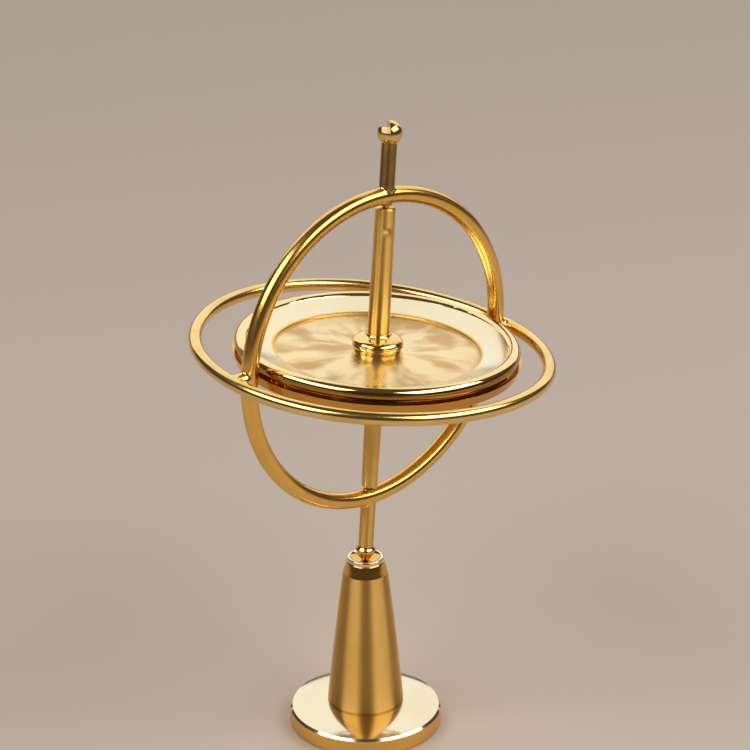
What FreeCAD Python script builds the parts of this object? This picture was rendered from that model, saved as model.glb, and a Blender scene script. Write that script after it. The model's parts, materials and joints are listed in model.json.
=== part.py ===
import FreeCAD, Part

import os
from math import cos, radians, sin, sqrt

from FreeCAD import Placement, Rotation, Vector

# Tabletop gyroscope standing on its pedestal, all in millimetres.
# The stand is upright on the origin with its underside at Z = 0. The gyroscope is drawn in a frame of
# its own, with its origin at the centre of its foot ball, Z along the spin axis and the vertical ring in
# the X-Z plane. It is then leaned over and set down in the cup.

# Pose of the gyroscope on the stand
rest_lean = 3.25           # degrees between the spin axis and the vertical
lean_bearing = -23.1       # degrees, the way it leans, from +X towards +Y

# Base plate
base_diameter = 28.0
base_edge_height = 3.3
base_top_chamfer = 0.4
base_foot_chamfer = 0.25
base_dome_rise = 1.2

# Pedestal
pedestal_foot_diameter = 14.0
pedestal_top_diameter = 8.3
pedestal_height = 26.1
pedestal_flank_bulge = 0.12
pedestal_foot_round = 0.35

# Stud that joins the pedestal to the plate
stud_diameter = 4.0
stud_depth_in_plate = 3.0
stud_depth_in_pedestal = 9.0
stud_end_chamfer = 0.4
stud_end_gap = 0.3

# Cup
cup_rim_diameter = 6.7
cup_mouth_diameter = 5.4
cup_height = 3.1
cup_rim_height = 0.8
cup_rim_round = 0.34
cup_neck_diameter = 6.1
cup_dish_depth = 0.8
cup_spigot_diameter = 4.6
cup_spigot_length = 7.0
cup_spigot_chamfer = 0.3
cup_spigot_gap = 0.4

# Foot ball and the stem above it
foot_ball_diameter = 2.85
foot_ball_seat_clearance = 0.05
foot_ball_cup_gap = 0.02
foot_seat_height = 1.02    # from the ball's centre up to the stem's end face
bottom_stem_length = 9.625  # from the foot of the ring to the foot ball's centre
bottom_stem_diameter = 2.75
bottom_stem_nose_length = 1.1
bottom_stem_end_diameter = 2.2

# Frame
ring_wheel_clearance = 1.25  # from the edge of the wheel to the inside of the ring
ring_rod_diameter = 3.0
band_rod_diameter = 2.35
band_gap = 0.35            # between the rings where they cross, on average
band_shift_along = -0.25   # how far the horizontal ring is brazed off the centre, along and across
band_shift_across = 1.35
band_shift_up = -0.3
band_skew = 2.25           # degrees that it is brazed out of square, about the line of its joints
band_dip = 1.0             # degrees that it dips towards the right joint

# Brazed joints between the rings
braze_waist_diameter = 1.9
braze_ring_end_diameter = 2.7
braze_band_end_diameter = 2.1
braze_ring_depth = 0.9     # how far the solder reaches back round each rod
braze_band_depth = 0.8

# Top stem and its slotted ball
top_stem_diameter = 2.7
top_stem_length = 9.7      # from the crown of the ring to the ball's centre
top_stem_socket_share = 0.25
ball_diameter = 4.4
ball_slot_width = 1.4
ball_slot_depth = 1.8
ball_slot_offset = -0.95   # from the ball's centre, towards the left
ball_slot_turn = -31.0     # degrees out of square with the vertical ring

# Bearings
bearing_diameter = 2.2
bearing_length = 2.2
bearing_proud = 0.15
bearing_clearance = 0.05
bearing_pocket_depth = 1.3

# Pivot pins
pin_diameter = 1.1
pin_depth_in_axle = 2.9
pin_point_length = 0.35
pin_end_gap = 0.05

# Axle
axle_end_gap = 0.6         # between each end face of the axle and the inside of the ring
axle_hub_diameter = 3.95
axle_top_diameter = 3.55
axle_lower_root_diameter = 3.3
axle_bottom_diameter = 2.9
axle_end_chamfer = 0.2
string_hole_diameter = 1.6
string_hole_from_end = 4.1
string_hole_turn = -19.0   # degrees out of square with the vertical ring at rest

# Flywheel, whose heights are measured from the centre of the rings
wheel_diameter = 51.2
bead_top = 2.23
bead_round = 1.25
bead_setback = 0.35        # how far the bead stays inside the wall
bead_foot_angle = -60.0    # degrees from the outward direction, where the bead meets the ledge
bead_crease_angle = 145.0  # and where it meets the face
ledge_height = -0.4
wall_taper = 0.5           # how much the wall draws in towards its foot
rim_bottom = -2.2
rim_chamfer = 0.2
face_inner_diameter = 37.0
face_inner_height = 0.25
recess_top_round = 0.22
recess_floor_round = 0.22
web_edge_top = -0.25
web_hub_top = -0.1
web_bottom = -1.3
web_foot_chamfer = 0.3

# Collars on the axle
collar_diameter = 9.15
collar_waist_diameter = 8.7
collar_height = 2.65
collar_lip_height = 0.95
collar_round = 0.45
collar_fillet = 0.45       # hollow round from the collar up to the axle

# Worked out from the sizes above
overrun = 1.0
base_top = base_edge_height + base_dome_rise
cup_base = base_top + pedestal_height
cup_rim = cup_base + cup_height
foot_ball_radius = foot_ball_diameter / 2
pivot_height = cup_rim - cup_dish_depth + foot_ball_cup_gap + foot_ball_radius
wheel_radius = wheel_diameter / 2
ring_inner_radius = wheel_radius + ring_wheel_clearance
ring_rod_radius = ring_rod_diameter / 2
ring_radius = ring_inner_radius + ring_rod_radius
ring_outer_radius = ring_inner_radius + ring_rod_diameter
pivot_to_centre = ring_outer_radius + bottom_stem_length
band_rod_radius = band_rod_diameter / 2
band_radius = ring_outer_radius + band_gap + band_rod_radius
band_shift = Vector(band_shift_along, band_shift_across, band_shift_up)
axle_half_length = ring_inner_radius - axle_end_gap
axle_hub_radius = axle_hub_diameter / 2
pin_radius = pin_diameter / 2
pin_tip = ring_inner_radius - bearing_proud + bearing_pocket_depth - pin_end_gap

up = Vector(0, 0, 1)
sideways = Vector(1, 0, 0)
across = Vector(0, 1, 0)
origin = Vector(0, 0, 0)
centre = Vector(0, 0, pivot_to_centre)


def turned(start, *steps):
    """Turns an outline of (radius, height) corners about Z. Two corners in one step make an arc."""
    edges = []
    here = Vector(start[0], 0, start[1])
    for step in steps:
        if isinstance(step[0], tuple):
            by_way, there = [Vector(r, 0, z) for r, z in step]
            edges.append(Part.Arc(here, by_way, there).toShape())
        else:
            there = Vector(step[0], 0, step[1])
            edges.append(Part.LineSegment(here, there).toShape())
        here = there
    closing = Vector(start[0], 0, start[1])
    if here.distanceToPoint(closing) > 0:
        edges.append(Part.LineSegment(here, closing).toShape())
    return Part.Face(Part.Wire(edges)).revolve(origin, up, 360)


def round_arc(centre_r, centre_z, radius, start_angle, end_angle):
    """Middle and end of a round of that radius, with its angles in degrees from the outward direction."""
    middle = radians((start_angle + end_angle) / 2)
    end = radians(end_angle)
    return (
        (centre_r + radius * cos(middle), centre_z + radius * sin(middle)),
        (centre_r + radius * cos(end), centre_z + radius * sin(end)),
    )


def rod(diameter, bottom, top):
    """Round bar on the Z axis between two heights."""
    return Part.makeCylinder(diameter / 2, top - bottom, Vector(0, 0, bottom), up)


def in_frame(solid):
    """Moves a solid drawn about the centre of the rings up to its place over the foot ball."""
    solid.translate(centre)
    return solid


def upside_down(solid):
    """The same solid below the centre of the rings, turned half way round X."""
    turned_over = solid.copy()
    turned_over.rotate(origin, sideways, 180)
    return turned_over


# Stand

def make_base_plate():
    """Turned plate with a flat underside, a chamfered edge and a slightly domed top."""
    radius = base_diameter / 2
    foot_radius = pedestal_foot_diameter / 2
    shoulder = radius - base_top_chamfer
    run = shoulder - foot_radius
    dome_middle = (foot_radius + run / 2, base_top - base_dome_rise / 4)
    plate = turned(
        (0, 0),
        (radius - base_foot_chamfer, 0),
        (radius, base_foot_chamfer),
        (radius, base_edge_height - base_top_chamfer),
        (shoulder, base_edge_height),
        (dome_middle, (foot_radius, base_top)),
        (0, base_top),
    )
    hole = rod(stud_diameter, base_top - stud_depth_in_plate - stud_end_gap, base_top + overrun)
    return plate.cut(hole)


def make_base_stud():
    """Stud with a chamfer on each end, screwed half into the plate and half into the pedestal."""
    radius = stud_diameter / 2
    bottom = base_top - stud_depth_in_plate
    top = base_top + stud_depth_in_pedestal
    return turned(
        (0, bottom),
        (radius - stud_end_chamfer, bottom),
        (radius, bottom + stud_end_chamfer),
        (radius, top - stud_end_chamfer),
        (radius - stud_end_chamfer, top),
        (0, top),
    )


def make_pedestal():
    """Slender cone with barely swelling flanks, bored from below for the stud and from above for the cup."""
    foot_radius = pedestal_foot_diameter / 2
    top_radius = pedestal_top_diameter / 2
    flank = ((foot_radius + top_radius) / 2 + pedestal_flank_bulge, base_top + pedestal_height / 2)
    cone = turned(
        (0, base_top),
        (foot_radius - pedestal_foot_round, base_top),
        (foot_radius, base_top + pedestal_foot_round),
        (flank, (top_radius, cup_base)),
        (0, cup_base),
    )
    stud_hole = rod(stud_diameter, base_top - overrun, base_top + stud_depth_in_pedestal + stud_end_gap)
    spigot_hole = rod(cup_spigot_diameter, cup_base - cup_spigot_length - cup_spigot_gap, cup_base + overrun)
    return cone.cut(stud_hole).cut(spigot_hole)


def make_cup():
    """Turned cup: a spigot pressed into the pedestal, a flared neck, a rounded rim and a shallow dish."""
    rim = cup_rim_diameter / 2
    mouth = cup_mouth_diameter / 2
    neck = cup_neck_diameter / 2
    foot = pedestal_top_diameter / 2
    spigot = cup_spigot_diameter / 2
    spigot_end = cup_base - cup_spigot_length
    neck_top = cup_rim - cup_rim_height
    flare_height = neck_top - cup_base
    flare_middle = (neck + (foot - neck) / 4, cup_base + flare_height / 2)
    dish_radius = (mouth ** 2 + cup_dish_depth ** 2) / (2 * cup_dish_depth)
    dish_bottom = cup_rim - cup_dish_depth
    dish_middle = (mouth / 2, dish_bottom + dish_radius - sqrt(dish_radius ** 2 - mouth ** 2 / 4))
    return turned(
        (0, spigot_end),
        (spigot - cup_spigot_chamfer, spigot_end),
        (spigot, spigot_end + cup_spigot_chamfer),
        (spigot, cup_base),
        (foot, cup_base),
        (flare_middle, (neck, neck_top)),
        round_arc(rim - cup_rim_round, neck_top + cup_rim_round, cup_rim_round, -60, 0),
        (rim, cup_rim - cup_rim_round),
        round_arc(rim - cup_rim_round, cup_rim - cup_rim_round, cup_rim_round, 0, 90),
        (mouth, cup_rim),
        (dish_middle, (0, dish_bottom)),
    )


def make_foot_ball():
    """Ball that stands in the dish of the cup, centred on the point about which the gyroscope tilts."""
    return Part.makeSphere(foot_ball_radius)


# Frame of the gyroscope

def ring_bore(diameter):
    """Bar through the crown and the foot of the vertical ring, where the bearings and stems go in."""
    reach = ring_outer_radius + overrun
    return rod(diameter, -reach, reach).cut(rod(diameter + overrun, -axle_half_length, axle_half_length))


def make_vertical_ring():
    """Round rod bent into a ring that stands in the X-Z plane, bored at its crown and foot."""
    ring = Part.makeTorus(ring_radius, ring_rod_radius, origin, across)
    return in_frame(ring.cut(ring_bore(bearing_diameter)))


def band_torus():
    """The horizontal ring as it is brazed on: a little off the centre and a little out of square."""
    band = Part.makeTorus(band_radius, band_rod_radius, origin, up)
    band.rotate(origin, sideways, band_skew)
    band.rotate(origin, across, band_dip)
    band.translate(band_shift)
    return band


def band_crossing(side):
    """Point on the middle line of the horizontal ring where it crosses the vertical one."""
    sine = -band_shift_across / (band_radius * cos(radians(band_skew)))
    reach = side * band_radius * sqrt(1 - sine ** 2)
    rise = band_radius * sine * sin(radians(band_skew))
    dip = radians(band_dip)
    crossing = Vector(
        reach * cos(dip) + rise * sin(dip),
        -band_shift_across,
        rise * cos(dip) - reach * sin(dip),
    )
    return crossing + band_shift


def make_horizontal_ring():
    """Thinner rod bent into a ring that runs round the outside of the vertical one."""
    return in_frame(band_torus())


def make_braze(side):
    """Neck of solder where the rings cross, drawn in between them, at the -X or the +X side."""
    crossing = band_crossing(side)
    ring_face = sqrt(ring_radius ** 2 - crossing.z ** 2) + ring_rod_radius
    band_face = abs(crossing.x) - band_rod_radius
    neck = turned(
        (0, ring_face - braze_ring_depth),
        (braze_ring_end_diameter / 2, ring_face - braze_ring_depth),
        (
            (braze_waist_diameter / 2, (ring_face + band_face) / 2),
            (braze_band_end_diameter / 2, band_face + braze_band_depth),
        ),
        (0, band_face + braze_band_depth),
    )
    neck.rotate(origin, across, side * 90)
    neck.translate(Vector(0, 0, crossing.z))
    solder = neck.cut(Part.makeTorus(ring_radius, ring_rod_radius, origin, across)).cut(band_torus())
    return in_frame(max(solder.Solids, key=lambda piece: piece.Volume))


def make_stem(diameter, bottom, top):
    """Stem along Z whose foot is shaped to the rod of the ring, with a spigot down to the bearing."""
    stem = rod(diameter, bottom, top)
    stem = stem.cut(Part.makeTorus(ring_radius, ring_rod_radius, origin, across))
    stem = max(stem.Solids, key=lambda piece: piece.BoundBox.ZMax)
    spigot_end = ring_inner_radius - bearing_proud + bearing_length
    return stem.fuse(rod(bearing_diameter, spigot_end, ring_outer_radius)).removeSplitter()


def make_top_stem():
    """Stem that carries the slotted ball and runs up into a hole in its underside."""
    ball_height = ring_outer_radius + top_stem_length
    end = ball_height - ball_diameter * top_stem_socket_share
    return in_frame(make_stem(top_stem_diameter, ring_radius, end))


def make_slotted_ball():
    """Ball drilled below for the stem, with a saw cut over its top that is neither central nor square."""
    ball_height = ring_outer_radius + top_stem_length
    radius = ball_diameter / 2
    stem_end = ball_height - ball_diameter * top_stem_socket_share
    ball = Part.makeSphere(radius, Vector(0, 0, ball_height))
    hole = rod(top_stem_diameter, ball_height - radius - overrun, stem_end)
    slot = Part.makeBox(
        ball_slot_width,
        ball_diameter + overrun,
        ball_slot_depth + overrun,
        Vector(
            ball_slot_offset - ball_slot_width / 2,
            -(ball_diameter + overrun) / 2,
            ball_height + radius - ball_slot_depth,
        ),
    )
    slot.rotate(origin, up, ball_slot_turn)
    return in_frame(ball.cut(hole).cut(slot))


def make_bottom_stem():
    """Stem below the ring, whose tapered nose holds the foot ball in a round seat."""
    nose_top = foot_seat_height + bottom_stem_nose_length
    radius = bottom_stem_diameter / 2
    lower = turned(
        (0, foot_seat_height),
        (bottom_stem_end_diameter / 2, foot_seat_height),
        (radius, nose_top),
        (radius, nose_top + overrun),
        (0, nose_top + overrun),
    )
    upper = upside_down(make_stem(bottom_stem_diameter, ring_radius, pivot_to_centre - nose_top - overrun))
    seat = Part.makeSphere(foot_ball_radius + foot_ball_seat_clearance)
    return lower.fuse(in_frame(upper)).cut(seat).removeSplitter()


def make_bearing():
    """Bush in the bore of the ring, with a blind pocket for the point of the pivot pin."""
    radius = bearing_diameter / 2
    face = ring_inner_radius - bearing_proud
    pocket_radius = pin_radius + bearing_clearance
    pocket_end = face + bearing_pocket_depth
    return turned(
        (pocket_radius, face),
        (radius, face),
        (radius, face + bearing_length),
        (0, face + bearing_length),
        (0, pocket_end),
        (pocket_radius, pocket_end - pin_point_length),
    )


# Flywheel and what turns with it

def make_pivot_pin():
    """Hard pin pressed into the end of the axle, with a blunt point that runs in the bearing."""
    return turned(
        (0, axle_half_length - pin_depth_in_axle),
        (pin_radius, axle_half_length - pin_depth_in_axle),
        (pin_radius, pin_tip - pin_point_length),
        (0, pin_tip),
    )


def make_axle():
    """Turned axle: a straight seat for the wheel, a taper each way, and a hole for the string."""
    seat_top = web_hub_top + collar_height + collar_fillet
    seat_bottom = web_bottom - collar_height - collar_fillet
    top_radius = axle_top_diameter / 2
    bottom_radius = axle_bottom_diameter / 2
    axle = turned(
        (0, -axle_half_length),
        (bottom_radius - axle_end_chamfer, -axle_half_length),
        (bottom_radius, -axle_half_length + axle_end_chamfer),
        (axle_lower_root_diameter / 2, seat_bottom),
        (axle_hub_radius, seat_bottom),
        (axle_hub_radius, seat_top),
        (top_radius, axle_half_length - axle_end_chamfer),
        (top_radius - axle_end_chamfer, axle_half_length),
        (0, axle_half_length),
    )
    pin_hole = rod(pin_diameter, axle_half_length - pin_depth_in_axle, axle_half_length + overrun)
    string_height = axle_half_length - string_hole_from_end
    string_hole = Part.makeCylinder(
        string_hole_diameter / 2,
        axle_hub_diameter + 2 * overrun,
        Vector(0, -axle_hub_radius - overrun, string_height),
        across,
    )
    string_hole.rotate(origin, up, string_hole_turn)
    return in_frame(axle.cut(pin_hole).cut(upside_down(pin_hole)).cut(string_hole))


def make_flywheel():
    """Turned wheel: thin web, rounded step, face that slopes up to a rolled bead, ledge and tapered wall."""
    bead_centre = wheel_radius - bead_setback - bead_round
    bead_height = bead_top - bead_round
    bead_foot = bead_centre + bead_round * cos(radians(bead_foot_angle))
    face_inside = face_inner_diameter / 2
    recess_wall = face_inside - recess_top_round
    floor_start = recess_wall - recess_floor_round
    wall_foot = wheel_radius - wall_taper
    return in_frame(turned(
        (axle_hub_radius, web_bottom),
        (face_inside - web_foot_chamfer, web_bottom),
        (face_inside, web_bottom - web_foot_chamfer),
        (face_inside, rim_bottom + rim_chamfer),
        (face_inside + rim_chamfer, rim_bottom),
        (wall_foot - rim_chamfer, rim_bottom),
        (wall_foot, rim_bottom + rim_chamfer),
        (wheel_radius, ledge_height),
        (bead_foot, ledge_height),
        (bead_foot, bead_height + bead_round * sin(radians(bead_foot_angle))),
        round_arc(bead_centre, bead_height, bead_round, bead_foot_angle, bead_crease_angle),
        (face_inside, face_inner_height),
        round_arc(face_inside, face_inner_height - recess_top_round, recess_top_round, 90, 180),
        (recess_wall, web_edge_top + recess_floor_round),
        round_arc(floor_start, web_edge_top + recess_floor_round, recess_floor_round, 0, -90),
        (collar_diameter / 2, web_hub_top),
        (axle_hub_radius, web_hub_top),
    ))


def collar(bottom):
    """Turned collar on the axle: plain waist, wider lip with a rounded edge, and fillet to the axle."""
    radius = collar_diameter / 2
    waist = collar_waist_diameter / 2
    top = bottom + collar_height
    lip_bottom = top - collar_lip_height
    return turned(
        (axle_hub_radius, bottom),
        (waist, bottom),
        (waist, lip_bottom - (radius - waist)),
        (radius, lip_bottom),
        (radius, top - collar_round),
        round_arc(radius - collar_round, top - collar_round, collar_round, 0, 90),
        (axle_hub_radius + collar_fillet, top),
        round_arc(axle_hub_radius + collar_fillet, top + collar_fillet, collar_fillet, 270, 180),
    )


def make_upper_collar():
    """Collar that stands on the web of the wheel."""
    return in_frame(collar(web_hub_top))


def make_lower_collar():
    """The same collar turned over, against the underside of the wheel."""
    return in_frame(upside_down(collar(-web_bottom)))


stand = {
    "base_plate": make_base_plate(),
    "base_stud": make_base_stud(),
    "pedestal": make_pedestal(),
    "cup": make_cup(),
}
gyroscope = {
    "foot_ball": make_foot_ball(),
    "vertical_ring": make_vertical_ring(),
    "horizontal_ring": make_horizontal_ring(),
    "left_braze": make_braze(-1),
    "right_braze": make_braze(1),
    "top_stem": make_top_stem(),
    "slotted_ball": make_slotted_ball(),
    "bottom_stem": make_bottom_stem(),
    "upper_bearing": in_frame(make_bearing()),
    "lower_bearing": in_frame(upside_down(make_bearing())),
    "flywheel": make_flywheel(),
    "axle": make_axle(),
    "upper_collar": make_upper_collar(),
    "lower_collar": make_lower_collar(),
    "upper_pivot_pin": in_frame(make_pivot_pin()),
    "lower_pivot_pin": in_frame(upside_down(make_pivot_pin())),
}

lean_axis = Vector(-sin(radians(lean_bearing)), cos(radians(lean_bearing)), 0)
on_stand = Placement(Vector(0, 0, pivot_height), Rotation(lean_axis, rest_lean))

os.makedirs("parts", exist_ok=True)
for name, solid in stand.items():
    solid.exportStep(f"parts/{name}.step")
for name, solid in gyroscope.items():
    solid.Placement = on_stand.multiply(solid.Placement)
    solid.exportStep(f"parts/{name}.step")
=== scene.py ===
import json
from math import cos, pi, radians, sin

import bmesh
import bpy
from mathutils import Matrix, Vector


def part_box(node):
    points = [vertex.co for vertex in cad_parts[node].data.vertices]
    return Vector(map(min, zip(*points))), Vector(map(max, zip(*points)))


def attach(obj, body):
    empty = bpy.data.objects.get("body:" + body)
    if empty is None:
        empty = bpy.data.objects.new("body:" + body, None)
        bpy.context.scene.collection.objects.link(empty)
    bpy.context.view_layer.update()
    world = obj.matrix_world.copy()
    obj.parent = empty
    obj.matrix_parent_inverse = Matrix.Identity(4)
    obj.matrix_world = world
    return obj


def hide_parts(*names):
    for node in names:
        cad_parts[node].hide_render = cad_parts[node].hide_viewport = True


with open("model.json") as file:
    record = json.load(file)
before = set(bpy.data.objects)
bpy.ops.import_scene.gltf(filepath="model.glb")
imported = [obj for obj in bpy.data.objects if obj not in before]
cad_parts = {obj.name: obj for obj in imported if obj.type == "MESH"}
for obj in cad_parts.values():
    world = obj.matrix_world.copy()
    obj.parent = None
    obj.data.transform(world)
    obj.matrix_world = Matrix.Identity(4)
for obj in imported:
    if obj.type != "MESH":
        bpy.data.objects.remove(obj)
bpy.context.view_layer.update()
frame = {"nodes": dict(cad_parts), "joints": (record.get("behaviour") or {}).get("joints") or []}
nodes = frame["nodes"]
mm = 0.001


# Base plate
# A round brass plate, faced and domed on a lathe and then buffed, that stands on its flat underside.
# The tool has left faint rings on it, and handling has left a thin haze.

def shader_group(name, inputs, outputs):
    """Empty node group with typed sockets; gives back the tree, its input node and its output node."""
    tree = bpy.data.node_groups.new(name, "ShaderNodeTree")
    for label, kind, value in inputs:
        socket = tree.interface.new_socket(label, in_out="INPUT", socket_type=kind)
        if value is not None:
            socket.default_value = value
    for label, kind in outputs:
        tree.interface.new_socket(label, in_out="OUTPUT", socket_type=kind)
    return tree, tree.nodes.new("NodeGroupInput"), tree.nodes.new("NodeGroupOutput")


def join(tree, source, target):
    tree.links.new(source, target)


def arithmetic(tree, operation, first, second=0.0, third=0.0):
    """Math node whose terms are sockets or plain numbers."""
    node = tree.nodes.new("ShaderNodeMath")
    node.operation = operation
    for slot, term in zip(node.inputs, (first, second, third)):
        if isinstance(term, (int, float)):
            slot.default_value = term
        else:
            join(tree, term, slot)
    return node.outputs[0]


def noise(tree, vector, scale, detail=3.0, roughness=0.55):
    node = tree.nodes.new("ShaderNodeTexNoise")
    node.inputs["Detail"].default_value = detail
    node.inputs["Roughness"].default_value = roughness
    if isinstance(scale, (int, float)):
        node.inputs["Scale"].default_value = scale
    else:
        join(tree, scale, node.inputs["Scale"])
    join(tree, vector, node.inputs["Vector"])
    return node.outputs["Fac"]


def make_buffed_haze():
    """Colour and roughness of buffed metal: a cloudy haze, darker where it has tarnished, and a ripple."""
    tree, given, made = shader_group(
        "buffed haze",
        [
            ("Vector", "NodeSocketVector", None),
            ("Color", "NodeSocketColor", (0.9, 0.65, 0.3, 1.0)),
            ("Tarnish Color", "NodeSocketColor", (0.6, 0.35, 0.1, 1.0)),
            ("Tarnish", "NodeSocketFloat", 0.3),
            ("Roughness", "NodeSocketFloat", 0.1),
            ("Haze", "NodeSocketFloat", 0.05),
            ("Cloud Scale", "NodeSocketFloat", 90.0),
            ("Ripple Scale", "NodeSocketFloat", 700.0),
        ],
        [("Color", "NodeSocketColor"), ("Roughness", "NodeSocketFloat"), ("Ripple", "NodeSocketFloat")],
    )
    cloud = noise(tree, given.outputs["Vector"], given.outputs["Cloud Scale"], 4.0)
    speck = noise(tree, given.outputs["Vector"], given.outputs["Ripple Scale"], 2.0)
    patch = tree.nodes.new("ShaderNodeMapRange")
    patch.interpolation_type = "SMOOTHSTEP"
    patch.inputs["From Min"].default_value = 0.42
    patch.inputs["From Max"].default_value = 0.68
    join(tree, cloud, patch.inputs["Value"])
    share = arithmetic(tree, "MULTIPLY", patch.outputs["Result"], given.outputs["Tarnish"])
    tint = tree.nodes.new("ShaderNodeMix")
    tint.data_type = "RGBA"
    join(tree, share, tint.inputs[0])
    join(tree, given.outputs["Color"], tint.inputs[6])
    join(tree, given.outputs["Tarnish Color"], tint.inputs[7])
    join(tree, tint.outputs[2], made.inputs["Color"])
    haze = arithmetic(tree, "MULTIPLY_ADD", patch.outputs["Result"], given.outputs["Haze"],
                      given.outputs["Roughness"])
    fleck = arithmetic(tree, "SUBTRACT", speck, 0.5)
    spread = arithmetic(tree, "MULTIPLY", fleck, given.outputs["Haze"])
    join(tree, arithmetic(tree, "ADD", haze, spread), made.inputs["Roughness"])
    join(tree, speck, made.inputs["Ripple"])
    return tree


def make_lathe_rings():
    """Uneven rings about Z, as a lathe tool leaves them; Radius is the distance from the axis in metres."""
    tree, given, made = shader_group(
        "lathe rings",
        [("Vector", "NodeSocketVector", None), ("Rings per Metre", "NodeSocketFloat", 4000.0)],
        [("Rings", "NodeSocketFloat"), ("Radius", "NodeSocketFloat")],
    )
    parts = tree.nodes.new("ShaderNodeSeparateXYZ")
    join(tree, given.outputs["Vector"], parts.inputs[0])
    across = arithmetic(tree, "MULTIPLY", parts.outputs["X"], parts.outputs["X"])
    squares = arithmetic(tree, "MULTIPLY_ADD", parts.outputs["Y"], parts.outputs["Y"], across)
    radius = arithmetic(tree, "SQRT", squares)
    lines = tree.nodes.new("ShaderNodeTexNoise")
    lines.noise_dimensions = "1D"
    lines.inputs["Scale"].default_value = 1.0
    lines.inputs["Detail"].default_value = 3.0
    depth = arithmetic(tree, "MULTIPLY_ADD", parts.outputs["Z"], 1.3, radius)
    join(tree, arithmetic(tree, "MULTIPLY", depth, given.outputs["Rings per Metre"]), lines.inputs["W"])
    join(tree, lines.outputs["Fac"], made.inputs["Rings"])
    join(tree, radius, made.inputs["Radius"])
    return tree


buffed_haze = make_buffed_haze()
lathe_rings = make_lathe_rings()


def placed_coordinates(tree, centre, turn):
    """Object coordinates measured from a piece's own centre and along its own axis."""
    source = tree.nodes.new("ShaderNodeTexCoord")
    mapping = tree.nodes.new("ShaderNodeMapping")
    mapping.vector_type = "TEXTURE"
    mapping.inputs["Location"].default_value = centre
    mapping.inputs["Rotation"].default_value = turn
    join(tree, source.outputs["Object"], mapping.inputs["Vector"])
    return mapping.outputs["Vector"]


def use_group(tree, group, **values):
    node = tree.nodes.new("ShaderNodeGroup")
    node.node_tree = group
    for label, value in values.items():
        socket = node.inputs[label.replace("_", " ").title().replace("Per", "per")]
        if hasattr(value, "is_output"):
            join(tree, value, socket)
        else:
            socket.default_value = value
    return node


def new_metal(name):
    """Material with a full metal Principled shader; gives back the material, its tree and the shader."""
    material = bpy.data.materials.new(name)
    material.use_nodes = True
    tree = material.node_tree
    tree.nodes.clear()
    shader = tree.nodes.new("ShaderNodeBsdfPrincipled")
    shader.inputs["Metallic"].default_value = 1.0
    output = tree.nodes.new("ShaderNodeOutputMaterial")
    join(tree, shader.outputs["BSDF"], output.inputs["Surface"])
    return material, tree, shader


def raise_bump(tree, shader, height, distance, strength=1.0, under=None):
    """Bump node into the shader's normal, over another bump's normal where one is given."""
    bump = tree.nodes.new("ShaderNodeBump")
    bump.inputs["Strength"].default_value = strength
    bump.inputs["Distance"].default_value = distance
    join(tree, height, bump.inputs["Height"])
    if under is not None:
        join(tree, under, bump.inputs["Normal"])
    join(tree, bump.outputs["Normal"], shader.inputs["Normal"])
    return bump.outputs["Normal"]


def follow_grain(tree, shader, place, turn, streak, axis=(0.0, 0.0, 1.0), across=0.25):
    """Draws highlights out across the grooves that run round an axis, or along them where across is 0."""
    along = tree.nodes.new("ShaderNodeVectorMath")
    along.operation = "CROSS_PRODUCT"
    along.inputs[0].default_value = axis
    join(tree, place, along.inputs[1])
    leaned = tree.nodes.new("ShaderNodeMapping")
    leaned.vector_type = "VECTOR"
    leaned.inputs["Rotation"].default_value = turn
    join(tree, along.outputs[0], leaned.inputs["Vector"])
    placed = tree.nodes.new("ShaderNodeVectorTransform")
    placed.vector_type = "VECTOR"
    placed.convert_from = "OBJECT"
    placed.convert_to = "WORLD"
    join(tree, leaned.outputs["Vector"], placed.inputs[0])
    join(tree, placed.outputs[0], shader.inputs["Tangent"])
    shader.inputs["Anisotropic"].default_value = streak
    shader.inputs["Anisotropic Rotation"].default_value = across


upright = (0.0, 0.0, 0.0)
stand_origin = (0.0, 0.0, 0.0)
cream_gold = (0.86, 0.77, 0.54, 1.0)
warm_gold = (0.92, 0.64, 0.23, 1.0)
deep_gold = (0.91, 0.55, 0.14, 1.0)
brown_gold = (0.52, 0.28, 0.07, 1.0)


def turned_gold(name, colour, roughness, centre, turn, ring_depth, tarnish=0.25, haze=0.05, cloud_scale=90.0,
                streak=0.3):
    """Buffed gold-coloured brass with faint lathe rings about its own axis."""
    material, tree, shader = new_metal(name)
    place = placed_coordinates(tree, centre, turn)
    buffed = use_group(tree, buffed_haze, vector=place, color=colour, tarnish_color=brown_gold,
                       tarnish=tarnish, roughness=roughness, haze=haze, cloud_scale=cloud_scale)
    rings = use_group(tree, lathe_rings, vector=place)
    join(tree, buffed.outputs["Color"], shader.inputs["Base Color"])
    join(tree, buffed.outputs["Roughness"], shader.inputs["Roughness"])
    raise_bump(tree, shader, rings.outputs["Rings"], ring_depth)
    follow_grain(tree, shader, place, turn, streak)
    return material


def dress(node, material):
    """Gives a CAD node its finish through its material slots."""
    mesh = nodes[node].data
    mesh.materials.clear()
    mesh.materials.append(material)


def zone(tree, value, edge, softness):
    """0 below an edge value and 1 above it."""
    ramp = tree.nodes.new("ShaderNodeMapRange")
    ramp.interpolation_type = "SMOOTHSTEP"
    ramp.inputs["From Min"].default_value = edge - softness
    ramp.inputs["From Max"].default_value = edge + softness
    join(tree, value, ramp.inputs["Value"])
    return ramp.outputs["Result"]


def blend_value(tree, share, inner, outer):
    """Number that goes from inner to outer as the share goes from 0 to 1."""
    rise = arithmetic(tree, "SUBTRACT", outer, inner)
    return arithmetic(tree, "MULTIPLY_ADD", share, rise, inner)


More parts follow.
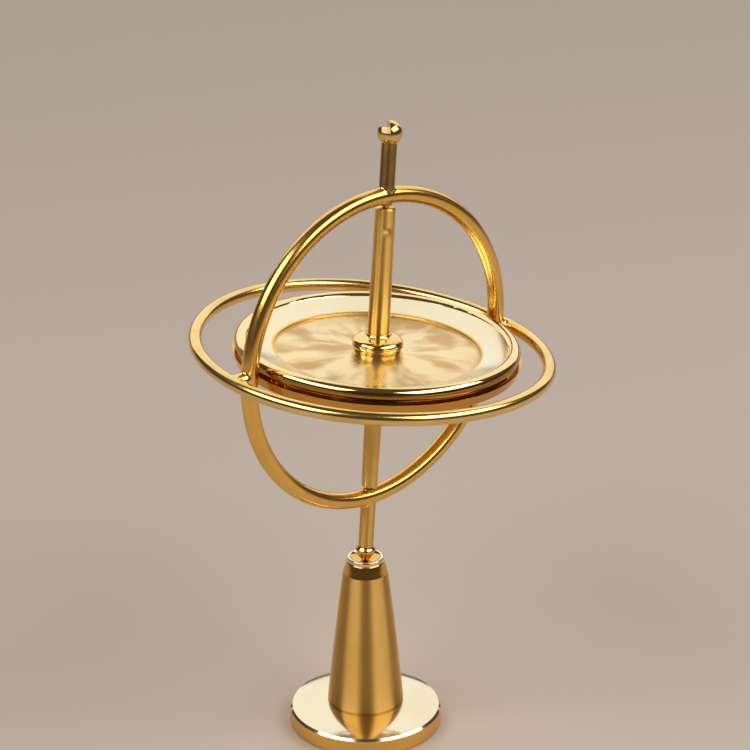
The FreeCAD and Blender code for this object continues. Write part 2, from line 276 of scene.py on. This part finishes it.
def blend_colour(tree, share, inner, outer):
    mix = tree.nodes.new("ShaderNodeMix")
    mix.data_type = "RGBA"
    join(tree, share, mix.inputs[0])
    for slot, colour in ((mix.inputs[6], inner), (mix.inputs[7], outer)):
        if hasattr(colour, "is_output"):
            join(tree, colour, slot)
        else:
            slot.default_value = colour
    return mix.outputs[2]


plate_bevel = 2.9 * mm  # height at which the bevel round the top begins


def make_plate_gold():
    """Mirror bright on top and rougher round the edge, whose deeper gold against the cream top is a painted
    reflection.
    """
    material, tree, shader = new_metal("plate gold")
    place = placed_coordinates(tree, stand_origin, upright)
    rings = use_group(tree, lathe_rings, vector=place)
    height = tree.nodes.new("ShaderNodeSeparateXYZ")
    join(tree, place, height.inputs[0])
    on_top = zone(tree, height.outputs["Z"], plate_bevel, 0.12 * mm)
    # Painted reflection: below the bevel the side is coloured deeper gold than the cream top.
    colour = blend_colour(tree, on_top, deep_gold, cream_gold)
    buffed = use_group(tree, buffed_haze, vector=place, color=colour, tarnish_color=brown_gold, tarnish=0.10,
                       roughness=blend_value(tree, on_top, 0.24, 0.11), haze=0.04, cloud_scale=90.0)
    join(tree, buffed.outputs["Color"], shader.inputs["Base Color"])
    join(tree, buffed.outputs["Roughness"], shader.inputs["Roughness"])
    raise_bump(tree, shader, rings.outputs["Rings"], 0.000003)
    follow_grain(tree, shader, place, upright, 0.3)
    return material


dress("base_plate", make_plate_gold())


# Stud
# A short steel stud that is screwed half into the plate and half into the pedestal, and holds the one
# on the other. It is hidden by both.

steel_grey = (0.42, 0.42, 0.43, 1.0)
stained_steel = (0.2, 0.17, 0.14, 1.0)


def ground_steel(name, centre, turn):
    """Hard ground steel, a little hazy."""
    material, tree, shader = new_metal(name)
    place = placed_coordinates(tree, centre, turn)
    buffed = use_group(tree, buffed_haze, vector=place, color=steel_grey, tarnish_color=stained_steel,
                       tarnish=0.4, roughness=0.25, haze=0.1, cloud_scale=800.0)
    join(tree, buffed.outputs["Color"], shader.inputs["Base Color"])
    join(tree, buffed.outputs["Roughness"], shader.inputs["Roughness"])
    return material


stud_steel = ground_steel("stud steel", stand_origin, upright)
dress("base_stud", stud_steel)


# Pedestal
# A slender brass cone with barely swelling flanks. It is lacquered over a fine blasted surface, so it
# is satin where the plate and the cup are bright.

cone_gold = (0.80, 0.47, 0.13, 1.0)


def make_satin_cone():
    material, tree, shader = new_metal("satin cone")
    place = placed_coordinates(tree, stand_origin, upright)
    buffed = use_group(tree, buffed_haze, vector=place, color=cone_gold, tarnish_color=brown_gold,
                       tarnish=0.15, roughness=0.42, haze=0.03, cloud_scale=120.0)
    grain = noise(tree, place, 5200.0, 2.0)
    join(tree, buffed.outputs["Color"], shader.inputs["Base Color"])
    join(tree, buffed.outputs["Roughness"], shader.inputs["Roughness"])
    raise_bump(tree, shader, grain, 0.000004, 0.12)
    follow_grain(tree, shader, place, upright, 0.98)
    return material


dress("pedestal", make_satin_cone())


# Cup
# A turned brass cup that is pressed into the top of the pedestal: flared neck, rounded rim and a
# shallow dish, all mirror bright where the foot of the gyroscope has rubbed them.

def spun(name, profile, rounds=4, segments=128):
    """Closed turned form from the (radius, height) corners of its outline, rounded off in between."""
    outline = [profile[0]]
    behind, ahead = profile[:1] + profile, profile[2:] + profile[-1:]
    for first, second, third, fourth in zip(behind, profile, profile[1:], ahead):
        for step in range(1, rounds + 1):
            t = step / rounds
            outline.append(tuple(
                0.5 * (2 * b + (c - a) * t + (2 * a - 5 * b + 4 * c - d) * t ** 2
                       + (3 * b - a - 3 * c + d) * t ** 3)
                for a, b, c, d in zip(first, second, third, fourth)))
    form = bmesh.new()
    low, high = form.verts.new((0, 0, outline[0][1])), form.verts.new((0, 0, outline[-1][1]))
    hoops = []
    for radius, height in outline[1:-1]:
        hoop = [2 * pi * k / segments for k in range(segments)]
        hoops.append([form.verts.new((radius * cos(a), radius * sin(a), height)) for a in hoop])
    for k in range(segments):
        after = (k + 1) % segments
        form.faces.new((low, hoops[0][after], hoops[0][k]))
        form.faces.new((high, hoops[-1][k], hoops[-1][after]))
        for lower, upper in zip(hoops, hoops[1:]):
            form.faces.new((lower[k], lower[after], upper[after], upper[k]))
    bmesh.ops.recalc_face_normals(form, faces=form.faces)
    mesh = bpy.data.meshes.new(name)
    form.to_mesh(mesh)
    form.free()
    mesh.polygons.foreach_set("use_smooth", [True] * len(mesh.polygons))
    return mesh


def new_piece(name, mesh):
    piece = bpy.data.objects.new(name, mesh)
    bpy.context.scene.collection.objects.link(piece)
    return piece


cup_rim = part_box("cup")[1][2]
cup_foot = -3.1         # millimetres under the rim, like the heights below
cup_neck = 0.8 * mm     # from the rim down to the waist of the neck
dish_edge = 2.72 * mm
cup_outline = [
    (0.0, cup_foot - 3.0), (1.2, cup_foot - 3.0), (2.25, cup_foot - 2.9), (2.3, cup_foot - 1.0),
    (3.7, cup_foot - 0.5), (4.10, cup_foot - 0.2), (4.10, -3.10), (3.98, -2.70), (3.85, -2.26), (3.71, -1.80),
    (3.57, -1.36), (3.43, -0.96), (3.27, -0.80),
    (3.33, -0.55), (3.35, -0.34), (3.27, -0.12), (3.05, 0.0), (2.82, -0.07), (2.66, -0.24), (2.30, -0.50),
    (1.80, -0.68), (1.0, -0.80), (0.0, -0.84),
]


def make_cup_gold():
    material, tree, shader = new_metal("cup gold")
    place = placed_coordinates(tree, stand_origin, upright)
    rings = use_group(tree, lathe_rings, vector=place)
    height = tree.nodes.new("ShaderNodeSeparateXYZ")
    join(tree, place, height.inputs[0])
    on_rim = zone(tree, height.outputs["Z"], cup_rim - cup_neck, 0.06 * mm)
    past_dish = zone(tree, rings.outputs["Radius"], dish_edge, 0.12 * mm)
    # Painted reflection: inside the dish the cone's deeper gold stands in for the gold that the dish mirrors;
    # only the rim round it is cream.
    colour = blend_colour(tree, arithmetic(tree, "MULTIPLY", on_rim, past_dish), cone_gold, cream_gold)
    buffed = use_group(tree, buffed_haze, vector=place, color=colour, tarnish_color=brown_gold, tarnish=0.12,
                       roughness=blend_value(tree, on_rim, 0.13, 0.07), haze=0.03, cloud_scale=300.0)
    join(tree, buffed.outputs["Color"], shader.inputs["Base Color"])
    join(tree, buffed.outputs["Roughness"], shader.inputs["Roughness"])
    raise_bump(tree, shader, rings.outputs["Rings"], 0.000002)
    return material


turned_cup = new_piece("turned_cup", spun("turned_cup", [(r * mm, cup_rim + z * mm) for r, z in cup_outline]))
turned_cup.data.materials.append(make_cup_gold())
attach(turned_cup, "stand")
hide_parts("cup")


# Foot ball
# A hard, polished ball in the end of the bottom stem, on which the whole gyroscope stands, leans and
# turns in the dish of the cup.

joints = {joint["name"]: joint for joint in frame["joints"]}
foot_centre = Vector(joints["lean"]["pos_m"])
ball_gold = turned_gold("foot ball gold", warm_gold, 0.08, foot_centre, upright, 0.000001, haze=0.02)
dress("foot_ball", ball_gold)


# Stems
# Two turned brass stems whose spigots sit in the bore of the vertical ring. The lower one ends in a
# bright bulb that holds the foot ball. The upper one carries the slotted ball, and its dark brown
# colour is a painted reflection of the dim room.

spin_axis = Vector(joints["spin"]["axis"]).normalized()
ring_centre = Vector(joints["spin"]["pos_m"])
lean_turn = Vector((0.0, 0.0, 1.0)).rotation_difference(spin_axis)
gyro_turn = tuple(lean_turn.to_euler())
stem_gold = turned_gold("stem gold", deep_gold, 0.36, ring_centre, gyro_turn, 0.000002, haze=0.03,
                        streak=0.93)
# Painted reflection: the upper stem's dark brown stands in for the dim room that it mirrors.
top_stem_painted_reflection_brown = (0.25, 0.15, 0.06, 1.0)
top_stem_gold_painted_dark = turned_gold("top stem gold painted dark", top_stem_painted_reflection_brown, 0.30, ring_centre, gyro_turn, 0.000002, tarnish=0.6,
                          streak=0.93)
dress("top_stem", top_stem_gold_painted_dark)

stem_radius = 1.37  # millimetres, like the outlines below
stem_outline = [
    (0.0, 1.2), (0.7, 1.2), (1.25, 1.2), (stem_radius, 1.3), (stem_radius, 1.5), (stem_radius, 3.0),
    (stem_radius, 6.0), (stem_radius, 10.2), (stem_radius, 10.8), (1.2, 10.9), (0.0, 10.9),
]
bulb_outline = [
    (0.0, -0.25), (0.8, -0.25), (1.30, -0.25), (1.40, -0.15), (1.52, 0.02), (1.66, 0.18), (1.78, 0.36),
    (1.82, 0.56), (1.78, 0.78), (1.66, 0.98), (1.50, 1.16), (1.40, 1.34), (1.30, 1.50), (0.8, 1.55),
    (0.0, 1.55),
]


def stand_on_foot(name, outline, material):
    """Turned form along the gyroscope's leaning axis, measured up from the middle of the foot ball."""
    form = spun(name, [(r * mm, z * mm) for r, z in outline])
    form.transform(Matrix.Translation(foot_centre) @ lean_turn.to_matrix().to_4x4())
    form.materials.append(material)
    piece = new_piece(name, form)
    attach(piece, "frame")
    return piece


bottom_stem = stand_on_foot("turned_bottom_stem", stem_outline, stem_gold)
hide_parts("bottom_stem")
stand_on_foot("bottom_stem_bulb", bulb_outline, ball_gold)


# Slotted ball
# A turned brass ball that is drilled for the stem and sawn across its top, so that the gyroscope can
# run or hang on a taut string.

slot_gold = turned_gold("slotted ball gold", warm_gold, 0.10, ring_centre, gyro_turn, 0.000003, haze=0.05)
dress("slotted_ball", slot_gold)


# Vertical ring
# A round brass rod that is bent into a ring, closed, buffed and bored at its crown and foot. The
# bending has left it a little oval and warped, by a few tenths of a millimetre.

def drawn_gold(name, colour, roughness, centre, turn, cloud_scale=110.0, axis=(0.0, 0.0, 1.0), streak=0.85):
    """Buffed rod: highlights drawn out along it, a cloudy haze and the slow ripple of hand buffing."""
    material, tree, shader = new_metal(name)
    place = placed_coordinates(tree, centre, turn)
    buffed = use_group(tree, buffed_haze, vector=place, color=colour, tarnish_color=brown_gold, tarnish=0.25,
                       roughness=roughness, haze=0.03, cloud_scale=cloud_scale, ripple_scale=180.0)
    join(tree, buffed.outputs["Color"], shader.inputs["Base Color"])
    join(tree, buffed.outputs["Roughness"], shader.inputs["Roughness"])
    raise_bump(tree, shader, buffed.outputs["Ripple"], 0.00001, 0.5)
    follow_grain(tree, shader, place, turn, streak, axis, across=0.0)
    return material


def socket_in(tree, label, kind, value=None):
    socket = tree.interface.new_socket(label, in_out="INPUT", socket_type=kind)
    if value is not None:
        socket.default_value = value


def make_bent_ring():
    """Closed ring of round rod. Hand bending leaves it a little oval, three-cornered, tilted and warped."""
    tree = bpy.data.node_groups.new("bent ring", "GeometryNodeTree")
    for label, value in (("Radius", 0.03), ("Rod Radius", 0.0015)):
        socket_in(tree, label, "NodeSocketFloat", value)
    bends = (("Oval", 2, "radial"), ("Corners", 3, "radial"), ("Tilt", 1, "axial"), ("Warp", 2, "axial"))
    for label, count, way in bends:
        socket_in(tree, label, "NodeSocketFloat", 0.0)
        socket_in(tree, label + " Angle", "NodeSocketFloat", 0.0)
    socket_in(tree, "Centre", "NodeSocketVector")
    socket_in(tree, "Turn", "NodeSocketVector")
    socket_in(tree, "Material", "NodeSocketMaterial")
    tree.interface.new_socket("Geometry", in_out="OUTPUT", socket_type="NodeSocketGeometry")
    given, made = tree.nodes.new("NodeGroupInput"), tree.nodes.new("NodeGroupOutput")

    circle = tree.nodes.new("GeometryNodeCurvePrimitiveCircle")
    circle.inputs["Resolution"].default_value = 360
    join(tree, given.outputs["Radius"], circle.inputs["Radius"])
    point = tree.nodes.new("ShaderNodeSeparateXYZ")
    join(tree, tree.nodes.new("GeometryNodeInputPosition").outputs[0], point.inputs[0])
    angle = arithmetic(tree, "ARCTAN2", point.outputs["Y"], point.outputs["X"])
    moves = {"radial": 0.0, "axial": 0.0}
    for label, count, way in bends:
        turned_by = arithmetic(tree, "MULTIPLY_ADD", angle, count,
                               arithmetic(tree, "MULTIPLY", given.outputs[label + " Angle"], -1.0))
        wave = arithmetic(tree, "MULTIPLY", arithmetic(tree, "COSINE", turned_by), given.outputs[label])
        moves[way] = arithmetic(tree, "ADD", wave, moves[way])
    offset = tree.nodes.new("ShaderNodeCombineXYZ")
    for side, share in (("X", "COSINE"), ("Y", "SINE")):
        part = arithmetic(tree, "MULTIPLY", arithmetic(tree, share, angle), moves["radial"])
        join(tree, part, offset.inputs[side])
    join(tree, moves["axial"], offset.inputs["Z"])
    bent = tree.nodes.new("GeometryNodeSetPosition")
    join(tree, circle.outputs["Curve"], bent.inputs["Geometry"])
    join(tree, offset.outputs[0], bent.inputs["Offset"])

    section = tree.nodes.new("GeometryNodeCurvePrimitiveCircle")
    section.inputs["Resolution"].default_value = 64
    join(tree, given.outputs["Rod Radius"], section.inputs["Radius"])
    swept = tree.nodes.new("GeometryNodeCurveToMesh")
    join(tree, bent.outputs["Geometry"], swept.inputs["Curve"])
    join(tree, section.outputs["Curve"], swept.inputs["Profile Curve"])
    placed = tree.nodes.new("GeometryNodeTransform")
    join(tree, swept.outputs["Mesh"], placed.inputs["Geometry"])
    join(tree, given.outputs["Centre"], placed.inputs["Translation"])
    join(tree, given.outputs["Turn"], placed.inputs["Rotation"])
    smooth = tree.nodes.new("GeometryNodeSetShadeSmooth")
    join(tree, placed.outputs["Geometry"], smooth.inputs["Geometry"])
    real = tree.nodes.new("GeometryNodeRealizeInstances")
    join(tree, smooth.outputs["Geometry"], real.inputs["Geometry"])
    finish = tree.nodes.new("GeometryNodeSetMaterial")
    join(tree, real.outputs["Geometry"], finish.inputs["Geometry"])
    join(tree, given.outputs["Material"], finish.inputs["Material"])
    join(tree, finish.outputs["Geometry"], made.inputs["Geometry"])
    return tree


def plain_mesh(piece):
    """Turns what a piece's modifiers make into its own plain mesh."""
    seen = bpy.context.evaluated_depsgraph_get()
    mesh = bpy.data.meshes.new_from_object(piece.evaluated_get(seen))
    piece.modifiers.clear()
    piece.data = mesh
    return piece


def grow(name, tree, **values):
    """Piece that a Geometry Nodes tree makes from its named inputs."""
    piece = new_piece(name, bpy.data.meshes.new(name))
    shape = piece.modifiers.new("shape", "NODES")
    shape.node_group = tree
    for item in tree.interface.items_tree:
        key = item.name.replace(" ", "_").lower()
        if item.in_out == "INPUT" and key in values:
            shape[item.identifier] = values[key]
    return plain_mesh(piece)


bent_ring = make_bent_ring()
crown_first = lean_turn.to_matrix() @ Matrix(((0.0, 1.0, 0.0), (0.0, 0.0, 1.0), (1.0, 0.0, 0.0)))
ring_rod = 1.5 * mm
vertical_ring_gold = drawn_gold("vertical ring gold", deep_gold, 0.17, ring_centre, gyro_turn,
                                axis=(0.0, 1.0, 0.0), streak=0.7)
ring_middle = ring_centre + lean_turn @ Vector((0.0, 0.164, 0.0)) * mm
vertical_ring = grow(
    "bent_vertical_ring", bent_ring, radius=28.284 * mm, rod_radius=ring_rod,
    oval=0.075 * mm, oval_angle=radians(28.0), corners=0.16 * mm, corners_angle=radians(-90.0),
    tilt=0.26 * mm, tilt_angle=radians(90.0), warp=0.24 * mm, warp_angle=radians(-132.5),
    centre=ring_middle, turn=crown_first.to_euler(), material=vertical_ring_gold,
)
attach(vertical_ring, "frame")
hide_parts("vertical_ring")


# Horizontal ring
# A thinner brass rod, bent by hand round the outside of the vertical ring and soldered to it at two
# points. It sits a little askew.

band_middle = ring_centre + lean_turn @ Vector((-0.13, 1.24, -0.30)) * mm
band_rod = 1.175 * mm
horizontal_ring_gold = drawn_gold("horizontal ring gold", warm_gold, 0.14, ring_centre, gyro_turn, streak=0.6)
horizontal_ring = grow(
    "bent_horizontal_ring", bent_ring, radius=31.412 * mm, rod_radius=band_rod,
    oval=0.114 * mm, oval_angle=radians(157.3), corners=0.108 * mm, corners_angle=radians(-151.8),
    tilt=1.29 * mm, tilt_angle=radians(118.6), warp=0.303 * mm, warp_angle=radians(-171.7),
    centre=band_middle, turn=lean_turn.to_euler(), material=horizontal_ring_gold,
)
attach(horizontal_ring, "frame")
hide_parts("horizontal_ring")


# Brazed joints
# Solder that has run in between the two rods where they cross, and was buffed over with them. A
# thinner run of it lies round the foot of each stem.

solder_gold = drawn_gold("solder gold", warm_gold, 0.15, ring_centre, gyro_turn, 500.0, streak=0.0)
neck_radius = 1.45 * mm
crossing_reach = 4.6 * mm  # how far the solder runs along the rods from where they cross
stem_reach = 3.4 * mm      # and along the ring and the stem from the stem's foot


def bar(start, end, radius):
    """Round bar between two points."""
    form = bmesh.new()
    along = end - start
    bmesh.ops.create_cone(form, cap_ends=True, segments=48, radius1=radius, radius2=radius,
                          depth=along.length)
    turn = Vector((0.0, 0.0, 1.0)).rotation_difference(along).to_matrix().to_4x4()
    bmesh.ops.transform(form, matrix=Matrix.Translation((start + end) / 2) @ turn, verts=form.verts)
    mesh = bpy.data.meshes.new("bar")
    form.to_mesh(mesh)
    form.free()
    return mesh


def near_part(mesh, middle, reach):
    """The closed part of a mesh that lies in a cube round a point."""
    form = bmesh.new()
    form.from_mesh(mesh)
    far = [v for v in form.verts if (v.co - middle).length > 3.0 * reach]
    bmesh.ops.delete(form, geom=far, context="VERTS")
    for side in [Vector(v) for v in ((1, 0, 0), (-1, 0, 0), (0, 1, 0), (0, -1, 0), (0, 0, 1), (0, 0, -1))]:
        everything = form.verts[:] + form.edges[:] + form.faces[:]
        bmesh.ops.bisect_plane(form, geom=everything, plane_co=middle + side * reach, plane_no=side,
                               clear_outer=True)
    bmesh.ops.holes_fill(form, edges=[e for e in form.edges if e.is_boundary])
    cut = bpy.data.meshes.new("near part")
    form.to_mesh(cut)
    form.free()
    return cut


crossing_grain, crossing_softness = 0.13 * mm, 80
stem_grain, stem_softness = 0.12 * mm, 70


def solder_run(name, meshes, middle, reach, grain, softness):
    """Solder that has run into the corners between rods: their joined form, softened till corners fill."""
    form = bmesh.new()
    for mesh in meshes:
        form.from_mesh(near_part(mesh, middle, reach))
    joined = bpy.data.meshes.new(name)
    form.to_mesh(joined)
    form.free()
    piece = new_piece(name, joined)
    skin = piece.modifiers.new("skin", "REMESH")
    skin.mode = "VOXEL"
    skin.voxel_size = grain
    soften = piece.modifiers.new("soften", "SMOOTH")
    soften.factor = 0.5
    soften.iterations = softness
    plain_mesh(piece)
    piece.data.polygons.foreach_set("use_smooth", [True] * len(piece.data.polygons))
    piece.data.materials.clear()
    piece.data.materials.append(solder_gold)
    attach(piece, "frame")
    return piece


def nearest_points(first, second, side):
    """Places on two rings' centrelines where they cross on that side of the axle."""
    def middle_of(piece, other_way):
        outward, across = lean_turn @ Vector((side, 0, 0)), lean_turn @ other_way
        near = [v.co for v in piece.data.vertices if (v.co - ring_centre).dot(outward) > 20.0 * mm]
        return [v for v in near if abs((v - ring_centre).dot(across)) < 4.5 * mm]
    ups = middle_of(first, Vector((0, 0, 1)))
    flats = middle_of(second, Vector((0, 1, 0)))
    return sum(ups, Vector()) / len(ups), sum(flats, Vector()) / len(flats)


for name, side in (("left_braze", -1.0), ("right_braze", 1.0)):
    on_ring, on_band = nearest_points(vertical_ring, horizontal_ring, side)
    on_ring += lean_turn @ Vector((0, 0, (on_band - on_ring).dot(lean_turn @ Vector((0, 0, 1)))))
    on_band += lean_turn @ Vector((0, (on_ring - on_band).dot(lean_turn @ Vector((0, 1, 0))), 0))
    neck = bar(on_ring, on_band, neck_radius)
    rods = [vertical_ring.data, horizontal_ring.data, neck]
    middle = (on_ring + on_band) / 2
    run = solder_run("solder_" + name, rods, middle, crossing_reach, crossing_grain, crossing_softness)
    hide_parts(name)

for name, foot in (("solder_top_stem", 1.0), ("solder_bottom_stem", -1.0)):
    start = ring_centre + spin_axis * foot * 28.0 * mm
    stem = bar(start, start + spin_axis * foot * 3.6 * mm, stem_radius * mm)
    middle = start + spin_axis * foot * 1.2 * mm
    solder_run(name, [vertical_ring.data, stem], middle, stem_reach, stem_grain, stem_softness)


# Bearings
# Two small brass bushes in the bore of the ring, at its crown and foot. Each has a blind pocket in
# which a pivot pin runs.

bush_gold = turned_gold("bearing gold", brown_gold, 0.25, ring_centre, gyro_turn, 0.000004)
dress("upper_bearing", bush_gold)
dress("lower_bearing", bush_gold)


# Flywheel
# A turned and plated wheel. Its web is satin, with darker smears painted into its colour that run out
# from the hub as painted reflections, and soft bumps with them. Its face is buffed flat and its bead is
# mirror bright. Below the waist of the bead its colour is a painted dark reflection, and below the
# ledge a painted brown reflection of the floor.

smear_start, smear_end = 6.5 * mm, 15.0 * mm  # distances from the axle, going out
step_start, web_edge, step_end = 17.95 * mm, 18.5 * mm, 18.65 * mm
face_edge = 22.98 * mm
ledge_height, waist_height = -0.3 * mm, 1.6 * mm  # heights over the middle of the wheel
bead_gold = (0.93, 0.71, 0.33, 1.0)
web_gold = (0.88, 0.70, 0.37, 1.0)
web_painted_reflection_gold = (0.55, 0.32, 0.09, 1.0)
step_gold = (0.90, 0.56, 0.13, 1.0)
bead_painted_dark_reflection = (0.42, 0.24, 0.07, 1.0)
wall_painted_floor_reflection = (0.68, 0.33, 0.06, 1.0)


def make_wheel_gold():
    material, tree, shader = new_metal("wheel gold")
    place = placed_coordinates(tree, ring_centre, gyro_turn)
    rings = use_group(tree, lathe_rings, vector=place)
    radius = rings.outputs["Radius"]
    on_face = zone(tree, radius, web_edge, 0.2 * mm)
    on_bead = zone(tree, radius, face_edge, 0.1 * mm)
    flat = tree.nodes.new("ShaderNodeVectorMath")
    flat.operation = "MULTIPLY"
    flat.inputs[1].default_value = (1.0, 1.0, 0.0)
    join(tree, place, flat.inputs[0])
    outward = tree.nodes.new("ShaderNodeVectorMath")
    outward.operation = "NORMALIZE"
    join(tree, flat.outputs[0], outward.inputs[0])
    fan = tree.nodes.new("ShaderNodeVectorMath")
    fan.operation = "ADD"
    reach = tree.nodes.new("ShaderNodeCombineXYZ")
    join(tree, arithmetic(tree, "MULTIPLY", radius, 45.0), reach.inputs["Z"])
    join(tree, outward.outputs[0], fan.inputs[0])
    join(tree, reach.outputs[0], fan.inputs[1])
    smear = noise(tree, fan.outputs[0], 2.3, 2.0)
    # Painted reflection: the web is darkened in radial smears that stand in for its fan-shaped reflections.
    web_with_painted_reflection = blend_colour(tree, zone(tree, smear, 0.48, 0.11), web_painted_reflection_gold, web_gold)
    height = tree.nodes.new("ShaderNodeSeparateXYZ")
    join(tree, place, height.inputs[0])
    above_waist = zone(tree, height.outputs["Z"], waist_height, 0.15 * mm)
    above_ledge = zone(tree, height.outputs["Z"], ledge_height, 0.08 * mm)
    within_step = arithmetic(tree, "SUBTRACT", 1.0, zone(tree, radius, step_end, 0.15 * mm))
    on_step = arithmetic(tree, "MULTIPLY", zone(tree, radius, step_start, 0.15 * mm), within_step)
    colour = blend_colour(tree, on_face, web_with_painted_reflection, cream_gold)
    colour = blend_colour(tree, on_step, colour, step_gold)
    # Painted reflection: below the waist the bead is coloured dark, and below the ledge brown, for the dim
    # room and the floor that they mirror.
    painted_reflection_below_waist = blend_colour(tree, above_ledge, wall_painted_floor_reflection, bead_painted_dark_reflection)
    colour = blend_colour(tree, on_bead, colour, blend_colour(tree, above_waist, painted_reflection_below_waist, bead_gold))
    buffed = use_group(tree, buffed_haze, vector=place, color=colour, tarnish_color=warm_gold, tarnish=0.20,
                       roughness=0.0, haze=0.015, cloud_scale=60.0)
    finish = blend_value(tree, on_face, 0.27, 0.17)
    finish = arithmetic(tree, "MULTIPLY_ADD", on_step, 0.18, blend_value(tree, on_bead, finish, 0.05))
    join(tree, buffed.outputs["Color"], shader.inputs["Base Color"])
    join(tree, arithmetic(tree, "ADD", finish, buffed.outputs["Roughness"]), shader.inputs["Roughness"])
    follow_grain(tree, shader, place, gyro_turn, 0.5)
    past_hub = zone(tree, radius, smear_start, 1.5 * mm)
    within_rim = arithmetic(tree, "SUBTRACT", 1.0, zone(tree, radius, smear_end, 2.0 * mm))
    wave = arithmetic(tree, "MULTIPLY", smear, arithmetic(tree, "MULTIPLY", past_hub, within_rim))
    soft = raise_bump(tree, shader, wave, 0.0002, 1.0)
    raise_bump(tree, shader, rings.outputs["Rings"], 0.000001, 1.0, under=soft)
    return material


dress("flywheel", make_wheel_gold())


# Collars
# Two turned brass collars that hold the wheel on the axle, one above the web and one below it.

collar_gold = turned_gold("collar gold", warm_gold, 0.10, ring_centre, gyro_turn, 0.000002, streak=0.5)
collar_half = 1.325 * mm  # half of the solid's height
collar_foot = -0.35       # millimetres, like the outline below
collar_outline = [
    (0.0, collar_foot), (2.5, collar_foot), (4.2, collar_foot), (4.28, -0.10), (4.26, 0.30), (4.25, 0.52),
    (4.36, 0.66), (4.52, 0.80), (4.57, 1.10), (4.53, 1.45), (4.38, 1.78), (4.08, 2.08), (3.60, 2.30),
    (3.05, 2.42), (2.62, 2.50), (2.30, 2.66), (2.10, 2.90), (2.00, 3.10), (1.60, 3.14), (0.0, 3.14),
]
for side, node in ((1.0, "upper_collar"), (-1.0, "lower_collar")):
    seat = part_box(node)
    middle = (Vector(seat[0]) + Vector(seat[1])) / 2
    foot = (middle - ring_centre).dot(spin_axis) - side * collar_half
    turned_form = spun("turned_" + node, [(r * mm, z * mm) for r, z in collar_outline])
    over = Matrix.Identity(4) if side > 0 else Matrix.Rotation(pi, 4, "X")
    stand_up = Matrix.Translation(ring_centre + spin_axis * foot) @ lean_turn.to_matrix().to_4x4() @ over
    turned_form.transform(stand_up)
    turned_form.materials.append(collar_gold)
    collar = new_piece("turned_" + node, turned_form)
    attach(collar, "wheel")
    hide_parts(node)


# Axle
# A long turned axle that tapers both ways from the wheel. The starting string goes through the cross
# hole near its upper end and is wound on the taper.

amber_gold = (0.93, 0.60, 0.17, 1.0)
axle_gold = turned_gold("axle gold", amber_gold, 0.34, ring_centre, gyro_turn, 0.000002, haze=0.03,
                        streak=0.93)
dress("axle", axle_gold)


# Pivot pins
# Two hard steel pins in the ends of the axle, which run in the bearings. Only their short necks show,
# in the gaps between axle and ring.

pin_steel = ground_steel("pin steel", ring_centre, gyro_turn)
dress("upper_pivot_pin", pin_steel)
dress("lower_pivot_pin", pin_steel)


# Studio
# A plain pale floor, two soft boxes in front of the object, a wide pale one behind it, and a dim room.
# The stand's front and the bead of the wheel mirror the dim room between the two boxes.

camera_azimuth = -39.295
object_middle = Vector((0.0, 0.0, 0.065))


def from_azimuth(azimuth, elevation, distance):
    """Point round the object's middle, seen along that azimuth: 0 looks along +Y, 90 along -X."""
    a, e = radians(azimuth), radians(elevation)
    return object_middle + distance * Vector((sin(a) * cos(e), -cos(a) * cos(e), sin(e)))


def soft_box(name, azimuth, elevation, distance, width, height, radiance):
    lamp = bpy.data.lights.new(name, "AREA")
    lamp.shape = "RECTANGLE"
    lamp.size = width
    lamp.size_y = height
    lamp.energy = radiance * pi * width * height
    box = bpy.data.objects.new(name, lamp)
    box.location = from_azimuth(azimuth, elevation, distance)
    box.rotation_euler = (object_middle - box.location).to_track_quat("-Z", "Y").to_euler()
    bpy.context.scene.collection.objects.link(box)
    return box


soft_box("left soft box", camera_azimuth - 54.0, 43.0, 0.7, 0.62, 0.38, 3.7)
soft_box("right soft box", camera_azimuth + 66.0, 43.0, 0.7, 0.76, 0.40, 3.7)
soft_box("back panel", camera_azimuth + 180.0, 34.0, 1.4, 2.6, 1.6, 1.0)

world = bpy.data.worlds.new("dim room")
world.use_nodes = True
world.node_tree.nodes["Background"].inputs["Color"].default_value = (0.08, 0.065, 0.05, 1.0)
bpy.context.scene.world = world


def make_floor():
    half = 3.0
    mesh = bpy.data.meshes.new("floor")
    corners = [(-half, -half, 0.0), (half, -half, 0.0), (half, half, 0.0), (-half, half, 0.0)]
    mesh.from_pydata(corners, [], [(0, 1, 2, 3)])
    floor = bpy.data.objects.new("floor", mesh)
    bpy.context.scene.collection.objects.link(floor)
    paint = bpy.data.materials.new("pale floor")
    paint.use_nodes = True
    shader = paint.node_tree.nodes["Principled BSDF"]
    shader.inputs["Base Color"].default_value = (0.52, 0.43, 0.35, 1.0)
    shader.inputs["Roughness"].default_value = 0.6
    mesh.materials.append(paint)


make_floor()


# Camera
# It stands where the photograph was taken from: 0.49 m away, a little above the gyroscope, with a long
# lens that looks down on it.

camera_back = 0.4259
camera_height = 0.2422
camera_pitch = 22.12
camera_lens = 124.9

lens = bpy.data.cameras.new("camera")
lens.lens = camera_lens
lens.sensor_width = 36.0
camera = bpy.data.objects.new("camera", lens)
stand_azimuth = radians(-39.06)
camera.location = (camera_back * sin(stand_azimuth), -camera_back * cos(stand_azimuth), camera_height)
camera.rotation_euler = (radians(90.0 - camera_pitch), 0.0, radians(camera_azimuth))
bpy.context.scene.collection.objects.link(camera)
bpy.context.scene.camera = camera
bpy.context.scene.view_settings.view_transform = "Standard"
